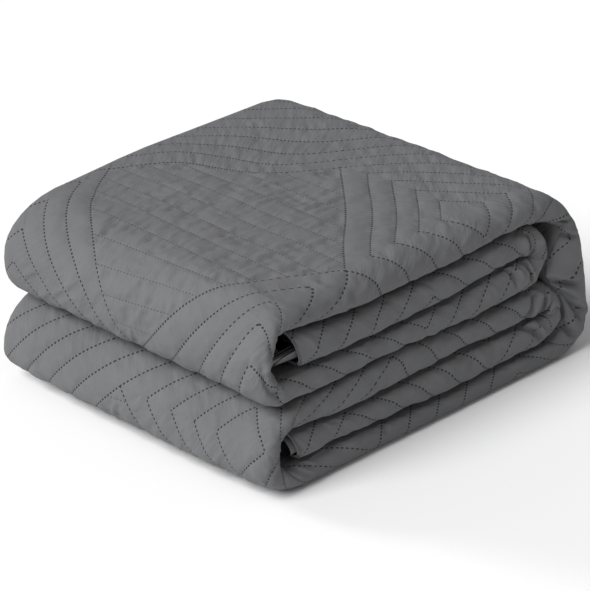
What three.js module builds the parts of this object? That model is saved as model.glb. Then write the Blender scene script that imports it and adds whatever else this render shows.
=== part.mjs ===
// A quilted bedspread folded for the shelf. Units are millimetres: +Z is up, +X runs along the strip on top
// and -Y is the side that shows the rounded folds.
// One cloth of about 2.3 x 2.1 m is halved three times across its width, which gives a strip of eight layers,
// 300 mm wide. The strip is then folded over flat from both ends, always the same way round, into two tiers.
// Its runs are named from the top: a, b, c in the upper tier and c2, b2, a2 in the lower one.
import * as THREE from 'three';

// Driving sizes
const HALF_WIDTH = 148; // half the strip's width, from the rounded folds to the back folds
const LAYERS = 8;
const CLOTH_SHARE = 0.78; // share of a layer's pitch that is cloth, the rest is air
const LAYER_PITCH = 3.3; // usual pitch of the layers
const RUN_GAP = 1.4; // air between two runs of the strip
const CROWN = 2.2; // how far the middle of the top stands above its edges
const ROLL_DEPTH = 12; // depth of a run's rounded front fold
const TOP_ROLL_DEPTH = 17; // the same on the top run, which nothing presses
const PUFF = 1.1; // height of the quilted channels above their seams
const CELL_STEPS = 10; // steps from a quilting cell's centre to its corners, two for each channel
const STEP = { u: 15.7, v: 13.25 }; // such a step along and across the strip, as a cell stands on its corner
const CELL_ORIGIN = { u: -98, v: 2 }; // centre of the straight-lined cell on the top
const STRAIGHT_LINES = 13; // lines across such a cell, four steps of the cell for every three of them
const CLOTH_COLOUR = 0x6f7072;

// Heights of the joints between the runs at four places along the strip, straight in between, at its front and
// its back edge
const JOINT_X = [-160, -90, 40, 140];
const JOINT_HEIGHTS = {
  front: [
    [158.5, 158.5, 158.5, 158.5],
    [137, 128.8, 131.2, 136],
    [101, 100, 103.5, 110.5],
    [77, 78, 75.3, 79.5],
    [53, 48, 50.8, 50],
    [23.5, 25, 19.6, 22],
    [0, 0, 0, 0],
  ],
  back: [
    [149.7, 155, 157.2, 157.2],
    [127, 127.3, 132, 133.5],
    [99, 101.3, 104, 108],
    [75, 77.3, 78.5, 80],
    [50, 50.3, 50, 51],
    [24, 22.3, 22.3, 21.5],
    [0, 0, 0, 0],
  ],
};
const RUN_ORDER = ['a', 'b', 'c', 'c2', 'b2', 'a2']; // run k lies between joints k and k + 1

// A fold joins two runs. Its outer face leaves the upper run at outerTop and meets the lower one at outerBottom,
// its inner face does so at innerTop and innerBottom. It reaches out to x = reach at the share rise of its height,
// where the strip is thick millimetres through. roundTop and roundBottom are the powers of its rounding, 2 for an
// ellipse and more for a squarer corner. bow is how far its middle stands out beyond its ends.
const FOLDS = {
  bc: { upper: 'b', lower: 'c', outerTop: 105, outerBottom: 107, innerTop: 105, innerBottom: 107, reach: 134,
    rise: 0.5, roundTop: 2, roundBottom: 2, thick: 24, bow: 0 },
  ca: { upper: 'a', lower: 'c', outerTop: -161, outerBottom: -161, innerTop: -167, innerBottom: -165, reach: -189,
    rise: 0.45, roundTop: 2.2, roundBottom: 2.2, thick: 15, bow: -1 },
  aa2: { upper: 'a', lower: 'a2', outerTop: 110, outerBottom: 154, innerTop: 112, innerBottom: 140, reach: 188.7,
    rise: 0.2, roundTop: 2.04, roundBottom: 2.1, thick: 22, bow: 0 },
  a2c2: { upper: 'c2', lower: 'a2', outerTop: -137, outerBottom: -133, innerTop: -158, innerBottom: -158,
    reach: -186.5, rise: 0.37, roundTop: 2.2, roundBottom: 2, thick: 21, bow: -4 },
  c2b2: { upper: 'c2', lower: 'b2', outerTop: 124, outerBottom: 122, innerTop: 124, innerBottom: 122, reach: 155,
    rise: 0.35, roundTop: 2, roundBottom: 2, thick: 26, bow: 0 },
};
// What changes from a fold's front end to its back end
const FOLD_DRIFT = {
  ca: { outerTop: 49, innerTop: 36, reach: 4.6, rise: -0.05 },
  a2c2: { outerTop: 8, reach: -2.8 },
  aa2: { outerTop: -7.6 },
};
// Where the strip's two ends lie, on its outer and on its inner face, and how far they shift towards the back
const STRIP_ENDS = {
  b: { outer: -157, inner: -144, drift: 17 },
  b2: { outer: -146, inner: -157, drift: 2 },
};
const HEM_RAGGED = 1.2; // how unevenly the layers end there

// The strip's course: each row is a run or a fold, with the way the strip goes and the number of steps that the
// hidden layers get along it
const COURSE = [
  { name: 'b', forward: true, steps: 3 },
  { name: 'bc', down: true, steps: 5 },
  { name: 'c', forward: false, steps: 3 },
  { name: 'ca', down: false, steps: 6 },
  { name: 'a', forward: true, steps: 3 },
  { name: 'aa2', down: true, steps: 7 },
  { name: 'a2', forward: false, steps: 3 },
  { name: 'a2c2', down: false, steps: 5 },
  { name: 'c2', forward: true, steps: 3 },
  { name: 'c2b2', down: true, steps: 5 },
  { name: 'b2', forward: false, steps: 3 },
];

// The way of the cloth through the strip's section, from one hem to the other. Layer 1 is the outer one.
const SECTION_TURNS = [
  { side: 'front', from: 8, to: 1, steps: 6 },
  { side: 'back', from: 1, to: 4, steps: 3 },
  { side: 'front', from: 4, to: 5, steps: 2 },
  { side: 'back', from: 5, to: 6, steps: 2 },
  { side: 'front', from: 6, to: 3, steps: 3 },
  { side: 'back', from: 3, to: 2, steps: 2 },
  { side: 'front', from: 2, to: 7, steps: 4 },
];
const BACK_INSET = { fold: 0, firstFold: 5, hemInner: 9, hemOuter: 3 }; // how far each stops short of the back

const OUTER_LEVEL = (LAYERS - 1 + CLOTH_SHARE) / 2; // level of the strip's outer face

const mix = THREE.MathUtils.lerp;
const smooth = THREE.MathUtils.smoothstep;
const clamp = THREE.MathUtils.clamp;

function jointHeight(heights, x) {
  let i = 0;
  while (i < JOINT_X.length - 2 && x > JOINT_X[i + 1]) i += 1;
  const t = clamp((x - JOINT_X[i]) / (JOINT_X[i + 1] - JOINT_X[i]), 0, 1);
  return mix(heights[i], heights[i + 1], t);
}

// Height of a run's upper or lower face
function runHeight(run, face, x, edge) {
  const joint = RUN_ORDER.indexOf(run) + (face === 'lower' ? 1 : 0);
  const open = joint > 0 && joint < RUN_ORDER.length;
  const gap = open ? (face === 'lower' ? RUN_GAP / 2 : -RUN_GAP / 2) : 0;
  return jointHeight(JOINT_HEIGHTS[edge][joint], x) + gap;
}

// A fold's row at its front or back end
function foldRow(name, edge) {
  const row = { ...FOLDS[name] };
  if (edge === 'back') {
    for (const [key, change] of Object.entries(FOLD_DRIFT[name] ?? {})) row[key] += change;
  }
  return row;
}

// A point of a fold's face: a quarter of a superellipse from its top out to its reach, and another one back
// under it. t goes from 0 at the top to 1 at the bottom.
function foldPoint(top, bottom, reach, row, t) {
  const middle = mix(bottom.z, top.z, row.rise);
  const turn = t * Math.PI;
  const out = Math.abs(Math.sin(turn));
  const up = Math.abs(Math.cos(turn));
  const start = t < 0.5 ? top : bottom;
  const power = 2 / (t < 0.5 ? row.roundTop : row.roundBottom);
  return {
    x: start.x + (reach - start.x) * out ** power,
    z: middle + (start.z - middle) * up ** power,
  };
}

// The strip's outer and inner face at place s of its course, at its front or back edge. s counts the rows of
// COURSE, so 3.5 is halfway along the fourth row.
function stripFaces(s, edge) {
  const index = Math.min(Math.floor(s), COURSE.length - 1);
  const row = COURSE[index];
  const t = s - index;
  if (row.name in FOLDS) {
    const fold = foldRow(row.name, edge);
    const place = row.down ? t : 1 - t;
    const side = Math.sign(fold.reach - fold.outerTop);
    const at = (x, run, face) => ({ x, z: runHeight(run, face, x, edge) });
    return {
      outer: foldPoint(at(fold.outerTop, fold.upper, 'upper'), at(fold.outerBottom, fold.lower, 'lower'),
        fold.reach, fold, place),
      inner: foldPoint(at(fold.innerTop, fold.upper, 'lower'), at(fold.innerBottom, fold.lower, 'upper'),
        fold.reach - side * fold.thick, fold, place),
      bow: fold.bow * Math.sin(Math.PI * place),
    };
  }
  const ends = (face) => [index - 1, index + 1].map((neighbour) => {
    if (neighbour < 0 || neighbour >= COURSE.length) {
      const end = STRIP_ENDS[row.name];
      return end[face] + (edge === 'back' ? end.drift : 0);
    }
    const fold = foldRow(COURSE[neighbour].name, edge);
    return fold[face + (fold.upper === row.name ? 'Top' : 'Bottom')];
  });
  const point = (face, side) => {
    const [from, to] = ends(face);
    const between = row.forward ? JOINT_X.slice(1, -1) : JOINT_X.slice(1, -1).reverse();
    const places = [from, ...between, to];
    const i = Math.min(Math.floor(t * (places.length - 1)), places.length - 2);
    const x = mix(places[i], places[i + 1], t * (places.length - 1) - i);
    return { x, z: runHeight(row.name, side, x, edge) };
  };
  return {
    outer: point('outer', row.forward ? 'upper' : 'lower'),
    inner: point('inner', row.forward ? 'lower' : 'upper'),
    bow: 0,
  };
}

// Depth of the front fold along the course: the top run's is deeper than the others'
function rollDepth(s) {
  const topRun = COURSE.findIndex((row) => row.name === 'a');
  const share = smooth(s, topRun - 0.4, topRun) * (1 - smooth(s, topRun + 0.8, topRun + 1.2));
  return mix(ROLL_DEPTH, TOP_ROLL_DEPTH, share);
}

// A point of the folded strip. y and level are its place in the section, the level counted in layers from the
// strip's middle, positive towards its outer face.
function stripPoint(s, y, level) {
  const depth = rollDepth(s);
  const inFront = y + HALF_WIDTH;
  const deepY = -HALF_WIDTH + (inFront < ROLL_DEPTH ? inFront * (depth / ROLL_DEPTH)
    : depth + (inFront - ROLL_DEPTH) * ((2 * HALF_WIDTH - depth) / (2 * HALF_WIDTH - ROLL_DEPTH)));
  const across = clamp((deepY + HALF_WIDTH) / (2 * HALF_WIDTH), 0, 1);
  const share = (level / OUTER_LEVEL + 1) / 2;
  const [front, back] = ['front', 'back'].map((edge) => {
    const { outer, inner, bow } = stripFaces(s, edge);
    return { x: mix(inner.x, outer.x, share), z: mix(inner.z, outer.z, share), bow };
  });
  const endShare = clamp(1 - s, 0, 1) - clamp(s - COURSE.length + 1, 0, 1);
  const ragged = HEM_RAGGED * Math.sin(5 * level) * endShare ** 3;
  const x = mix(front.x, back.x, across) + 4 * across * (1 - across) * mix(front.bow, back.bow, across) + ragged;
  const z = mix(front.z, back.z, across);
  const dome = Math.max(0, 1 - (x / 180) ** 2) * Math.max(0, 1 - (deepY / HALF_WIDTH) ** 2);
  return new THREE.Vector3(x, deepY, z * (1 + CROWN * dome / JOINT_HEIGHTS.front[0][0]));
}

// Length along the outer layer, measured from the middle of the top run, for each place s
function clothRuler() {
  const samples = 24;
  const places = [];
  const lengths = [0];
  for (let i = 0; i <= COURSE.length * samples; i += 1) places.push(i / samples);
  const points = places.map((s) => stripPoint(s, 0, OUTER_LEVEL));
  for (let i = 1; i < points.length; i += 1) lengths.push(lengths[i - 1] + points[i].distanceTo(points[i - 1]));
  const topRun = COURSE.findIndex((row) => row.name === 'a');
  const crossing = points.findIndex((p, i) => places[i] > topRun && p.x > 0);
  const before = crossing - 1;
  const t = -points[before].x / (points[crossing].x - points[before].x);
  const zero = mix(lengths[before], lengths[crossing], t);
  const lookUp = (value, from, to) => {
    let i = from.findIndex((v) => v > value);
    if (i < 1) i = value <= from[0] ? 1 : from.length - 1;
    return mix(to[i - 1], to[i], (value - from[i - 1]) / (from[i] - from[i - 1]));
  };
  return {
    length: (s) => lookUp(s, places, lengths) - zero,
    place: (u) => lookUp(u + zero, lengths, places),
    end: lengths.at(-1) - zero,
    start: -zero,
  };
}

// The quilting cell at a place of the cloth: its kind and the place's offsets from its centre, as shares of its
// side. Past the bottom run the cells lie one step further on.
function quiltCell(u, v) {
  const later = smooth(u, 400, 620);
  const along = (u - CELL_ORIGIN.u) / STEP.u - later;
  const across = (v - CELL_ORIGIN.v) / STEP.v - later;
  const [a, b] = [along + across, along - across].map((sum) => sum / (2 * CELL_STEPS));
  const [row, column] = [Math.round(a), Math.round(b)];
  const oddRow = THREE.MathUtils.euclideanModulo(row, 2) === 1;
  const apart = THREE.MathUtils.euclideanModulo(row - column, 4);
  const kind = oddRow && apart < 2 ? 'sloping' : !oddRow && apart === 0 ? 'straight' : 'nested';
  return { kind, da: a - row, db: b - column };
}

// Distance from a place of the cloth to the nearest quilting line. By its kind a cell holds lines along its side,
// straight lines across the strip, or squares inside each other.
function seamDistance(u, v) {
  const { kind, da, db } = quiltCell(u, v);
  const half = { u: CELL_STEPS * STEP.u, v: CELL_STEPS * STEP.v };
  const side = 2 * half.u * half.v / Math.hypot(half.u, half.v);
  const toLine = (value, pitch) => Math.abs(value - Math.round(value / pitch) * pitch);
  const channel = 1 / CELL_STEPS;
  if (kind === 'sloping') return toLine(da, channel) * side;
  const toSide = 0.5 - Math.max(Math.abs(da), Math.abs(db));
  if (kind === 'nested') return toLine(toSide, channel) * side;
  return Math.min(toLine((da + db) * half.u, 4 / 3 * STEP.u), toSide * side);
}

// Shares of the way across where the hidden layers get extra lines
const INNER_ROWS = [0.5];
const UNDERSIDE_ROWS = [0.25, 0.5, 0.75]; // the same for the innermost layer's own face

// The section's outline: the cloth's middle line, offset to both sides. skin marks the outer layer's own face,
// where v is the cloth's length across the strip.
function sectionOutline() {
  const middle = (LAYERS + 1) / 2;
  const level = (layer) => middle - layer;
  const frontCentre = ROLL_DEPTH - HALF_WIDTH;
  const outerRadius = (LAYERS - 1) / 2;
  const line = [];
  const hem = (layer, inset, heading) => line.push({ y: HALF_WIDTH - inset, level: level(layer), ny: 0, nl: heading });
  hem(8, BACK_INSET.hemOuter, -1);
  for (const turn of SECTION_TURNS) {
    const centre = (level(turn.from) + level(turn.to)) / 2;
    const radius = (level(turn.to) - level(turn.from)) / 2;
    const isFront = turn.side === 'front';
    const inset = turn.from === 5 ? BACK_INSET.firstFold : BACK_INSET.fold;
    const size = Math.abs(radius) * (isFront ? ROLL_DEPTH / outerRadius : LAYER_PITCH);
    const base = isFront ? frontCentre : HALF_WIDTH - inset - (turn.from === 5 ? size : 1.5 * LAYER_PITCH);
    const bend = Math.sign(radius) * (isFront ? -1 : 1);
    for (let i = 0; i <= turn.steps; i += 1) {
      const angle = Math.PI * i / turn.steps;
      const out = Math.sin(angle) * (isFront ? -1 : 1);
      line.push({
        y: base + size * out,
        level: centre - radius * Math.cos(angle),
        ny: -bend * out,
        nl: bend * Math.sign(radius) * Math.cos(angle),
        roll: turn.from === 8,
      });
    }
  }
  hem(7, BACK_INSET.hemInner, 1);
  const halfCloth = CLOTH_SHARE / 2;
  const offset = (point, side) => ({
    ...point,
    y: point.y + side * point.ny * halfCloth * LAYER_PITCH,
    level: point.level + side * point.nl * halfCloth,
  });
  const outside = line.map((point) => offset(point, 1));
  const inside = line.map((point) => offset(point, -1)).reverse();
  const rollRadius = ROLL_DEPTH + halfCloth * LAYER_PITCH;
  const ring = [];
  for (const point of outside) {
    ring.push(point);
    if (!point.roll) continue;
    point.skin = point.nl < -0.6 ? 'plain' : point.nl > 0.95 ? 'face' : 'roll';
    point.v = frontCentre - rollRadius * Math.acos(clamp(point.nl, -1, 1));
    if (point.nl > 0.999) {
      for (let row = -9; row <= 10; row += 1) {
        const y = CELL_ORIGIN.v + row * STEP.v;
        ring.push({ y, v: y, level: point.level, ny: 0, nl: 1, skin: 'face' });
      }
    }
  }
  for (const point of inside) ring.push({ ...point, skin: undefined });
  return ring.flatMap((point, i) => {
    const next = ring[(i + 1) % ring.length];
    if (Math.abs(next.y - point.y) < HALF_WIDTH) return [point];
    const rows = i === 0 ? UNDERSIDE_ROWS : INNER_ROWS;
    return [point, ...rows.map((share) => ({ ...point, y: mix(point.y, next.y, share) }))];
  });
}

// The places along the course where each kind of outline point gets a vertex. The outer face is fine where it
// shows, with a vertex on every quilting line.
function stationLists(ruler) {
  const plain = [0];
  COURSE.forEach((row, index) => {
    for (let i = 1; i <= row.steps; i += 1) plain.push(index + i / row.steps);
  });
  const lattice = [];
  const lined = [];
  const first = Math.ceil((ruler.start - CELL_ORIGIN.u) / STEP.u);
  for (let i = first; CELL_ORIGIN.u + i * STEP.u < ruler.end; i += 1) {
    lattice.push(ruler.place(CELL_ORIGIN.u + i * STEP.u));
  }
  for (let line = 0; line < STRAIGHT_LINES; line += 1) {
    const fromMiddle = (line - (STRAIGHT_LINES - 1) / 2) * 4 / 3;
    if (!Number.isInteger(fromMiddle)) lined.push(ruler.place(CELL_ORIGIN.u + fromMiddle * STEP.u));
  }
  const shows = (s) => SHOWN.some((stretch) => s > stretch.from && s < stretch.to);
  const join = (...lists) => {
    const all = lists.flat().sort((p, q) => p - q);
    return all.filter((s, i) => i === 0 || s - all[i - 1] > MIN_STEP);
  };
  const ends = [0, COURSE.length];
  const inner = (s) => s > MIN_STEP && s < COURSE.length - MIN_STEP;
  return {
    plain,
    roll: join(ends, lattice.filter(inner)),
    face: join(ends, plain.filter((s) => !shows(s)), lattice.filter((s) => inner(s) && shows(s)), lined),
  };
}
// Stretches of the course where the outer face shows
const SHOWN = [{ from: 3.2, to: 5.85 }, { from: 7.15, to: 7.9 }];
const MIN_STEP = 0.015;

// How far the quilted channels stand out at a point of the outer face. They fade out where the strip lies on
// another run or on the ground.
function puffHeight(s, point, position, ruler) {
  if (point.skin === 'plain') return 0;
  const raised = PUFF * (1 - Math.exp(-((seamDistance(ruler.length(s), point.v) / 5) ** 2)));
  const offGround = smooth(position.z, 6, 20);
  const showing = SHOWN.reduce((share, stretch) => Math.max(share,
    smooth(s, stretch.from, stretch.from + 0.1) * (1 - smooth(s, stretch.to - 0.1, stretch.to))), 0);
  const share = point.skin === 'face' ? showing : Math.max(point.ny ** 2, showing * Math.max(point.nl, 0));
  return raised * offGround * share;
}

// One vertex of the cloth, with its quilting
function clothVertex(s, point, ruler) {
  const position = stripPoint(s, point.y, point.level);
  if (!point.skin) return position;
  const above = stripPoint(s, point.y, point.level + 0.5);
  const outwards = above.sub(position).normalize().multiplyScalar(point.nl).add(new THREE.Vector3(0, point.ny, 0));
  return position.addScaledVector(outwards.normalize(), puffHeight(s, point, position, ruler));
}

// Triangles between two neighbouring lines of vertices, each a list of {s, id} in order of s
function fillBetween(left, right, triangles) {
  let [i, j] = [0, 0];
  while (i < left.length - 1 || j < right.length - 1) {
    const stepLeft = j === right.length - 1
      || (i < left.length - 1 && left[i + 1].s - right[j].s <= right[j + 1].s - left[i].s);
    const sameSteps = i < left.length - 1 && j < right.length - 1
      && left[i + 1].s === right[j + 1].s && left[i].s === right[j].s;
    if (sameSteps) {
      const [p, q, r, t] = [left[i], left[i + 1], right[j + 1], right[j]];
      const alongFirst = Math.abs(p.phase - r.phase) <= Math.abs(q.phase - t.phase);
      if (alongFirst) triangles.push(p.id, q.id, r.id, p.id, r.id, t.id);
      else triangles.push(p.id, q.id, t.id, q.id, r.id, t.id);
      i += 1;
      j += 1;
    } else if (stepLeft) {
      triangles.push(left[i].id, left[i + 1].id, right[j].id);
      i += 1;
    } else {
      triangles.push(left[i].id, right[j + 1].id, right[j].id);
      j += 1;
    }
  }
}

// Which way the quilting lines run at a place of the cloth, as a value that stays the same along a line
function seamPhase(u, v) {
  const { kind, da, db } = quiltCell(u, v);
  return kind === 'sloping' ? da : Math.max(Math.abs(da), Math.abs(db));
}

const quilted = (point) => point.skin === 'face' || point.skin === 'roll';

function buildCloth() {
  const ruler = clothRuler();
  const ring = sectionOutline();
  const stations = stationLists(ruler);
  const positions = [];
  const lines = ring.map((point) => stations[point.skin ?? 'plain'].map((s) => {
    const position = clothVertex(s, point, ruler);
    positions.push(position.x, position.y, position.z);
    const phase = quilted(point) ? seamPhase(ruler.length(s), point.v) : s - point.y;
    return { s, id: positions.length / 3 - 1, phase };
  }));
  const triangles = [];
  lines.forEach((line, i) => fillBetween(line, lines[(i + 1) % lines.length], triangles));
  const contour = ring.map((point) => new THREE.Vector2(point.y, point.level * LAYER_PITCH));
  for (const [p, q, r] of THREE.ShapeUtils.triangulateShape(contour, [])) {
    const first = [p, q, r].map((i) => lines[i][0].id);
    const last = [p, q, r].map((i) => lines[i].at(-1).id);
    triangles.push(first[0], first[2], first[1], last[0], last[1], last[2]);
  }
  const geometry = new THREE.BufferGeometry();
  geometry.setAttribute('position', new THREE.Float32BufferAttribute(positions, 3));
  geometry.setIndex(triangles);
  geometry.computeBoundingBox();
  const centre = geometry.boundingBox.getCenter(new THREE.Vector3());
  geometry.translate(-centre.x, -centre.y, -geometry.boundingBox.min.z);
  geometry.computeVertexNormals();
  return geometry;
}

const cloth = new THREE.MeshStandardMaterial({ color: CLOTH_COLOUR, roughness: 0.95, metalness: 0 });
const bedspread = new THREE.Mesh(buildCloth(), cloth);
bedspread.name = 'bedspread';

const group = new THREE.Group();
group.add(bedspread);
export default group;
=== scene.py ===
"""A quilted bedspread folded for the shelf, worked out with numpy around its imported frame.

One cloth is halved three times across its width, which gives a strip of eight layers, and the strip is
folded over flat from both ends into two tiers. Lengths in the tables are millimetres, and those of the
finish and the mesh are metres.
"""
import math

import bpy
import numpy as np
from bpy.props import FloatProperty, FloatVectorProperty, PointerProperty
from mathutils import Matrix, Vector


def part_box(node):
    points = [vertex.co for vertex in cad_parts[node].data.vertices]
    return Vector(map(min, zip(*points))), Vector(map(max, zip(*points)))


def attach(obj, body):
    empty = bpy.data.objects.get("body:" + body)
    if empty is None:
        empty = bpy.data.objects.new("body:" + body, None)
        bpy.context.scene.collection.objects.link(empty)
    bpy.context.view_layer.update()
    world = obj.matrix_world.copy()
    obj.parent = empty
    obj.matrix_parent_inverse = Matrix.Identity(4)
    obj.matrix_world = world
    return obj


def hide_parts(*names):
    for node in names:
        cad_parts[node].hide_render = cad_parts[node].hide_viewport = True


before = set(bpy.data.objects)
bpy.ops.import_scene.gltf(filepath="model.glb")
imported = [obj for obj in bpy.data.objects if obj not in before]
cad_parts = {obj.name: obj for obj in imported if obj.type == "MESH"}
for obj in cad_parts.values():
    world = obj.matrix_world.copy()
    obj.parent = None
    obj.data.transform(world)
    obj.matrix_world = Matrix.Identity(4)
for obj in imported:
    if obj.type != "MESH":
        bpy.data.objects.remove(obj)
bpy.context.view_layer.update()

bl_info = {
    "name": "Folded quilted bedspread",
    "version": (1, 0, 0),
    "blender": (4, 5, 0),
    "location": "3D View > Sidebar > Bedspread",
    "description": "Builds a folded quilted bedspread around its packed frame",
    "category": "Add Mesh",
}

MM = 0.001
NODE = "bedspread"

# The strip's course
# Heights of the joints between the runs at six places along the strip, at its front and its back edge
JOINT_X = np.array([-160, -100, -40, 20, 80, 140], float)
JOINT_HEIGHTS = {
    "front": np.array([
        [158.5, 158.5, 158.5, 158.5, 158.5, 158.5],
        [137, 129, 129.5, 130, 134, 136],
        [101, 100, 100, 102, 108, 110],
        [77, 76.5, 79, 76, 75, 80],
        [53, 48, 49, 51.5, 49.5, 50],
        [23.5, 25.5, 22.5, 19.5, 21, 22],
        [0, 0, 0, 0, 0, 0],
    ]),
    "back": np.array([
        [149.7, 153.5, 157.2, 157.2, 157.2, 157.2],
        [127, 127, 130, 132, 132, 133.5],
        [99, 101, 103, 103, 106, 108],
        [75, 77.5, 76.5, 78, 79, 80],
        [50, 50, 52, 49.5, 51, 50],
        [24, 22.5, 21, 22.5, 22, 21.5],
        [0, 0, 0, 0, 0, 0],
    ]),
}
RUN_ORDER = ["a", "b", "c", "c2", "b2", "a2"]  # run k lies between joints k and k + 1
RUN_GAP = 1.4
CROWN = 2.2  # height of the dome on the top
CROWN_REACH = 180  # its half length

# A fold's outer face leaves the upper run at outer_top and meets the lower one at outer_bottom, its inner
# face at inner_top and inner_bottom. It reaches out to x = reach at the share rise of its height, where the
# strip is thick through. round_top and round_bottom are the powers of its rounding, and bow is how far its
# middle stands out.
FOLDS = {
    "bc": dict(upper="b", lower="c", outer_top=105, outer_bottom=107, inner_top=105, inner_bottom=107,
               reach=134, rise=0.5, round_top=2, round_bottom=2, thick=24, bow=0),
    "ca": dict(upper="a", lower="c", outer_top=-161, outer_bottom=-161, inner_top=-167, inner_bottom=-165,
               reach=-189, rise=0.45, round_top=2.2, round_bottom=2.2, thick=15, bow=-1),
    "aa2": dict(upper="a", lower="a2", outer_top=110, outer_bottom=154, inner_top=112, inner_bottom=140,
                reach=188.7, rise=0.2, round_top=2.04, round_bottom=2.1, thick=22, bow=0),
    "a2c2": dict(upper="c2", lower="a2", outer_top=-137, outer_bottom=-133, inner_top=-158, inner_bottom=-158,
                 reach=-186.5, rise=0.37, round_top=2.2, round_bottom=2, thick=21, bow=-4),
    "c2b2": dict(upper="c2", lower="b2", outer_top=124, outer_bottom=122, inner_top=124, inner_bottom=122,
                 reach=155, rise=0.35, round_top=2, round_bottom=2, thick=26, bow=0),
}
# What changes from a fold's front end to its back end
FOLD_DRIFT = {
    "ca": dict(outer_top=49, inner_top=36, reach=4.6, rise=-0.05),
    "a2c2": dict(outer_top=8, reach=-2.8),
    "aa2": dict(outer_top=-7.6),
}
# The front edge of the large fold's inner face, which is crumpled around the folds that it wraps
LARGE_FOLD_INSIDE = np.array([
    # share of the turn, x, z
    (0, 112, 133.5),
    (0.1, 122, 132.5),
    (0.18, 135, 130),
    (0.24, 147, 123),
    (0.29, 149, 114),
    (0.34, 138, 105),
    (0.38, 133.5, 93),
    (0.41, 128.5, 84),
    (0.44, 138, 72.8),
    (0.47, 148.5, 62.5),
    (0.5, 155, 52),
    (0.56, 157, 41),
    (0.65, 154.5, 31.5),
    (0.8, 147, 24.8),
    (1, 140, 21.3),
])
# Where the strip's two ends lie: x of the outer and the inner face at the front edge, which change by drift
# towards the back edge. Inside the outermost layer, the upper half of the cloth ends further left by upper,
# the lower half by lower, and the second layer by second.
STRIP_ENDS = {
    "b": dict(outer=-157, inner=-144, drift=17, upper=-34, lower=36, second=-30),
    "b2": dict(outer=-146, inner=-157, drift=2, upper=-30, lower=-26, second=5),
}
# How near to the section's middle these layers lie, as shares of its half thickness
SECOND_LAYER = (0.83, 0.88)
INNER_LAYERS = (0.58, 0.66)
HALVES_BLEND = 0.9  # levels over which the upper half passes into the lower one

# Each row of the course is a run, with 1 where the strip goes to the right and -1 where it goes to the left,
# or a fold, with 1 where it goes down and -1 where it goes up
COURSE = [
    ("b", 1), ("bc", 1), ("c", -1), ("ca", -1), ("a", 1), ("aa2", 1),
    ("a2", -1), ("a2c2", -1), ("c2", 1), ("c2b2", 1), ("b2", -1),
]
COURSE_SAMPLES = 64  # samples of each row in the looked-up course
COURSE_S = np.linspace(0, len(COURSE), len(COURSE) * COURSE_SAMPLES + 1)
TOP_RUN = 4  # place s where the top run starts
# Depth of the top run's front fold, and the places s over which it gets deeper and shallower again
TOP_ROLL_DEPTH = 17
TOP_ROLL_START = (TOP_RUN - 0.4, TOP_RUN)
TOP_ROLL_STOP = (TOP_RUN + 0.8, TOP_RUN + 1.2)

# The cloth's section
LAYERS = 8
LAYER_PITCH = 3.3
CLOTH_SHARE = 0.78  # the cloth's own thickness, as a share of the pitch
OUTER_LEVEL = (LAYERS - 1 + CLOTH_SHARE) / 2  # level of the outer face
# The way of the cloth through the section
SECTION_TURNS = [
    # side, layer it comes from, layer it goes to, steps, how far it stops short of the back
    ("front", 8, 1, 24, 0),
    ("back", 1, 4, 5, 0),
    ("front", 4, 5, 3, 0),
    ("back", 5, 6, 3, 5),
    ("front", 6, 3, 5, 0),
    ("back", 3, 2, 3, 0),
    ("front", 2, 7, 7, 0),
]
SQUARENESS = 0.8  # power that squares the outermost front fold, 1 for an ellipse
BACK_ROOM = 1.5 * LAYER_PITCH  # how far the back folds start before the back
HEM_INSETS = {8: 3, 7: 9}  # how far the two hems lie inside the back folds
PLEAT_ROOM = 3.8  # how much deeper the layers under the front folds' outermost face lie, for the pleats
PLEAT_ROOM_RISE = 0.6  # share of the front fold's depth over which this comes in
PLEAT_ROOM_ENDS = (0.3, 0.8)  # and distances in s from the strip's ends over which it does so too

# The mesh. A row of vertices is hidden, lies on a rounded front fold or lies on the outer face.
HIDDEN, ROLL, FACE = range(3)
FACE_NORMAL = 0.95  # a roll's rows that point up more than this count as the outer face
UNDER_NORMAL = -0.8  # and those that point down more than this are hidden
HIDDEN_ROWS = np.array([0.25, 0.5, 0.75])  # places of the rows on a hidden flat stretch of the section
HIDDEN_RUN_STEPS = 8  # steps of a hidden row along a run
HIDDEN_FOLD_STEPS = 16  # and along a fold
FACE_STEP = 2.25  # mesh size on the outer face where it shows
ROLL_STEP = 2.4  # and on the rounded front folds
FOLD_STEP = 1.3  # and where these go round the right-hand folds
# Stretches of the course, as places s: where the outer face shows, and where the front folds go round the
# right-hand folds
SHOWN = [(3.05, 5.95), (7.05, 7.95)]
SHOWN_FADE = 0.15  # distance in s over which the relief comes in there
TURNING = [(0.8, 2.2), (4.9, 6), (8.8, 10.2)]

# The quilting
CELL_ORIGIN = (-98, 2)  # cloth place of the middle of the straight-lined cell on the top
CELL_HALF = (157, 132.5)  # half a cell's diagonals along and across the strip
CELL_SIDE = 2 * CELL_HALF[0] * CELL_HALF[1] / math.hypot(*CELL_HALF)  # distance between its opposite sides
CHANNELS = 10  # channels across a cell
HALF_CHANNEL = 0.5 / CHANNELS  # half a channel's width, for a cell of width 1
STRAIGHT_PITCH = 2 * CELL_HALF[0] / 15  # pitch of the straight lines
STRAIGHT_LEAN = 0.1  # how far these lean along the strip for their length across it
LATER = (400, 620)  # places between which the cells come to lie one channel further on
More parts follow.
